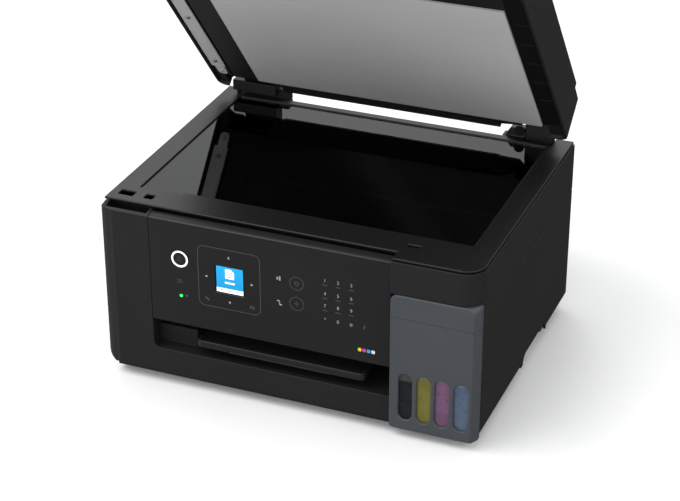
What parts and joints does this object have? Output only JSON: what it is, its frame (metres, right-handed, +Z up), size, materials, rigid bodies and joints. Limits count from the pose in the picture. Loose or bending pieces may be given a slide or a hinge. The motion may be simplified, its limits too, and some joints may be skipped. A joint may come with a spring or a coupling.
{
  "type": "inkjet printer",
  "caption": "Ink-tank multifunction printer: flatbed scanner under a hinged lid with a document feeder, tilting control panel, front output tray and rear paper feed.",
  "frame": {"origin": "on the floor, under the middle of the object's outer box with the lid open as stored", "axes": "+X to the printer's right as its user faces it, +Y to its back, +Z up"},
  "size_m": [0.375, 0.3468, 0.4441],
  "materials": {
    "black_shell": "fine-grained satin black",
    "panel_black": "smooth satin black",
    "dark_plastic": "matte black",
    "grey_shell": "satin blue-grey",
    "document_mat": "matte grey-white",
    "white_plastic": "satin natural white",
    "steel": "plain zinc-plated",
    "motor_case": "plain",
    "rubber": "matte",
    "glass": "clear, over a dark interior",
    "circuit_board": "green solder mask",
    "lcd": "lit blue display",
    "ink_black": "translucent tank with black ink",
    "ink_yellow": "translucent tank with yellow ink",
    "ink_magenta": "translucent tank with magenta ink",
    "ink_cyan": "translucent tank with cyan ink"
  },
  "bodies": {
    "housing": {"base_tray": "black_shell", "front_cover": "black_shell", "front_housing": "black_shell", "left_side_cover": "black_shell", "right_side_cover": "black_shell", "rear_cover": "black_shell", "main_board": "circuit_board", "power_supply": "motor_case", "ac_inlet": "dark_plastic", "maintenance_box": "white_plastic", "print_chassis": "steel", "carriage_rail": "steel", "platen": "dark_plastic", "carriage_belt": "rubber", "carriage_motor": "motor_case", "feed_motor": "motor_case", "tank_housing": "grey_shell", "ink_tank_black": "ink_black", "ink_tank_yellow": "ink_yellow", "ink_tank_magenta": "ink_magenta", "ink_tank_cyan": "ink_cyan", "rear_feeder": "black_shell"},
    "carriage": {"print_carriage": "dark_plastic", "print_head": "dark_plastic"},
    "motor_pulley": {"motor_pulley": "white_plastic"},
    "idler_pulley": {"idler_pulley": "white_plastic"},
    "feed_roller": {"feed_roller": "rubber"},
    "exit_roller": {"exit_roller": "rubber"},
    "idler_gear": {"idler_gear": "white_plastic"},
    "motor_pinion": {"motor_pinion": "white_plastic"},
    "pickup_roller": {"pickup_roller": "rubber"},
    "output_tray": {"output_tray": "black_shell"},
    "output_extension": {"output_extension": "black_shell"},
    "paper_support": {"paper_support": "black_shell"},
    "edge_guide_left": {"edge_guide_left": "black_shell"},
    "edge_guide_right": {"edge_guide_right": "black_shell"},
    "feeder_guard": {"feeder_guard": "black_shell"},
    "tank_cover": {"tank_cover": "grey_shell"},
    "tank_cap_black": {"tank_cap_black": "ink_black"},
    "tank_cap_yellow": {"tank_cap_yellow": "ink_yellow"},
    "tank_cap_magenta": {"tank_cap_magenta": "ink_magenta"},
    "tank_cap_cyan": {"tank_cap_cyan": "ink_cyan"},
    "control_panel": {"control_panel": "panel_black", "lcd_screen": "lcd"},
    "power_button": {"power_button": "panel_black"},
    "scanner_unit": {"scanner_case": "black_shell", "scanner_bezel": "black_shell", "scanner_glass": "glass", "scan_rail": "steel"},
    "scan_carriage": {"scan_carriage": "dark_plastic"},
    "hinge_posts": {"hinge_post_left": "dark_plastic", "hinge_post_right": "dark_plastic"},
    "lid": {"lid_base": "black_shell", "document_mat": "document_mat", "adf_body": "black_shell"},
    "adf_cover": {"adf_cover": "black_shell"},
    "document_tray_cover": {"document_tray_cover": "black_shell"},
    "adf_guide_front": {"adf_guide_front": "black_shell"},
    "adf_guide_rear": {"adf_guide_rear": "black_shell"},
    "adf_feed_roller": {"adf_feed_roller": "rubber"}
  },
  "joints": [
    {"name": "scanner_unit_hinge", "type": "hinge", "parent": "housing", "child": "scanner_unit", "pos_m": [0, 0.12135, 0.1325], "axis": [-1, 0, 0], "range_deg": [0, 30]},
    {"name": "hinge_post_lift", "type": "slide", "parent": "scanner_unit", "child": "hinge_posts", "axis": [0, 0, 1], "range_m": [0, 0.012]},
    {"name": "lid_hinge", "type": "hinge", "parent": "hinge_posts", "child": "lid", "pos_m": [0, 0.11895, 0.2193], "axis": [-1, 0, 0], "range_deg": [-49.7, 12]},
    {"name": "adf_cover_hinge", "type": "hinge", "parent": "lid", "child": "adf_cover", "pos_m": [-0.1844, 0.03166, 0.34851], "axis": [0, -0.6468, 0.7627], "range_deg": [0, 85]},
    {"name": "document_tray_hinge", "type": "hinge", "parent": "lid", "child": "document_tray_cover", "pos_m": [0.1844, 0.03166, 0.34851], "axis": [0, 0.6468, -0.7627], "range_deg": [0, 115]},
    {"name": "adf_guide_front_slide", "type": "slide", "parent": "lid", "child": "adf_guide_front", "axis": [0, 0.6468, -0.7627], "range_m": [0, 0.055]},
    {"name": "adf_guide_rear_slide", "type": "slide", "parent": "lid", "child": "adf_guide_rear", "axis": [0, -0.6468, 0.7627], "range_m": [0, 0.055]},
    {"name": "adf_roller_spin", "type": "hinge", "parent": "lid", "child": "adf_feed_roller", "pos_m": [-0.088, 0.02222, 0.34063], "axis": [0, 0.6468, -0.7627], "continuous": true},
    {"name": "scan_carriage_slide", "type": "slide", "parent": "scanner_unit", "child": "scan_carriage", "axis": [1, 0, 0], "range_m": [0, 0.285]},
    {"name": "panel_tilt", "type": "hinge", "parent": "housing", "child": "control_panel", "pos_m": [0, -0.16065, 0.168], "axis": [-1, 0, 0], "range_deg": [0, 40]},
    {"name": "power_button_press", "type": "slide", "parent": "control_panel", "child": "power_button", "axis": [0, 1, 0], "range_m": [0, 0.0009], "stiffness_N_per_m": 350, "springref_m": -0.0012},
    {"name": "output_tray_slide", "type": "slide", "parent": "housing", "child": "output_tray", "axis": [0, -1, 0], "range_m": [0, 0.095]},
    {"name": "output_extension_slide", "type": "slide", "parent": "output_tray", "child": "output_extension", "axis": [0, -1, 0], "range_m": [0, 0.075]},
    {"name": "paper_support_slide", "type": "slide", "parent": "housing", "child": "paper_support", "axis": [0, 0.3746, 0.9272], "range_m": [0, 0.07]},
    {"name": "edge_guide_left_slide", "type": "slide", "parent": "housing", "child": "edge_guide_left", "axis": [1, 0, 0], "range_m": [0, 0.055]},
    {"name": "edge_guide_right_slide", "type": "slide", "parent": "housing", "child": "edge_guide_right", "axis": [-1, 0, 0], "range_m": [0, 0.055]},
    {"name": "feeder_guard_hinge", "type": "hinge", "parent": "housing", "child": "feeder_guard", "pos_m": [0, 0.13535, 0.1486], "axis": [1, 0, 0], "range_deg": [0, 70]},
    {"name": "tank_cover_hinge", "type": "hinge", "parent": "housing", "child": "tank_cover", "pos_m": [0.143, -0.17355, 0.1258], "axis": [1, 0, 0], "range_deg": [0, 100]},
    {"name": "tank_cap_black_hinge", "type": "hinge", "parent": "housing", "child": "tank_cap_black", "pos_m": [0.1181, -0.13065, 0.1189], "axis": [-1, 0, 0], "range_deg": [0, 95]},
    {"name": "tank_cap_yellow_hinge", "type": "hinge", "parent": "housing", "child": "tank_cap_yellow", "pos_m": [0.1361, -0.13065, 0.1189], "axis": [-1, 0, 0], "range_deg": [0, 95]},
    {"name": "tank_cap_magenta_hinge", "type": "hinge", "parent": "housing", "child": "tank_cap_magenta", "pos_m": [0.1541, -0.13065, 0.1189], "axis": [-1, 0, 0], "range_deg": [0, 95]},
    {"name": "tank_cap_cyan_hinge", "type": "hinge", "parent": "housing", "child": "tank_cap_cyan", "pos_m": [0.1721, -0.13065, 0.1189], "axis": [-1, 0, 0], "range_deg": [0, 95]},
    {"name": "carriage_slide", "type": "slide", "parent": "housing", "child": "carriage", "axis": [-1, 0, 0], "range_m": [0, 0.2]},
    {"name": "motor_pulley_spin", "type": "hinge", "parent": "housing", "child": "motor_pulley", "pos_m": [0.16, 0.00635, 0.117], "axis": [0, 0, 1], "continuous": true},
    {"name": "idler_pulley_spin", "type": "hinge", "parent": "housing", "child": "idler_pulley", "pos_m": [-0.16, 0.00635, 0.117], "axis": [0, 0, 1], "continuous": true},
    {"name": "feed_roller_spin", "type": "hinge", "parent": "housing", "child": "feed_roller", "pos_m": [0, 0.00935, 0.06], "axis": [1, 0, 0], "continuous": true},
    {"name": "exit_roller_spin", "type": "hinge", "parent": "housing", "child": "exit_roller", "pos_m": [0, -0.05665, 0.06], "axis": [1, 0, 0], "continuous": true},
    {"name": "idler_gear_spin", "type": "hinge", "parent": "housing", "child": "idler_gear", "pos_m": [-0.169, -0.02365, 0.06], "axis": [1, 0, 0], "continuous": true},
    {"name": "motor_pinion_spin", "type": "hinge", "parent": "housing", "child": "motor_pinion", "pos_m": [-0.169, 0.02495, 0.0392], "axis": [1, 0, 0], "continuous": true},
    {"name": "pickup_roller_spin", "type": "hinge", "parent": "housing", "child": "pickup_roller", "pos_m": [0, 0.12735, 0.084], "axis": [1, 0, 0], "continuous": true}
  ],
  "couplings": [
    {"joint": "adf_guide_rear_slide", "follows": "adf_guide_front_slide", "ratio": 1},
    {"joint": "edge_guide_right_slide", "follows": "edge_guide_left_slide", "ratio": 1},
    {"joint": "motor_pulley_spin", "follows": "carriage_slide", "rad_per_m": -188.68},
    {"joint": "idler_pulley_spin", "follows": "carriage_slide", "rad_per_m": -188.68},
    {"joint": "exit_roller_spin", "follows": "feed_roller_spin", "ratio": 1},
    {"joint": "idler_gear_spin", "follows": "feed_roller_spin", "ratio": -1.5385},
    {"joint": "motor_pinion_spin", "follows": "feed_roller_spin", "ratio": -3.3333},
    {"joint": "pickup_roller_spin", "follows": "feed_roller_spin", "ratio": 1}
  ]
}
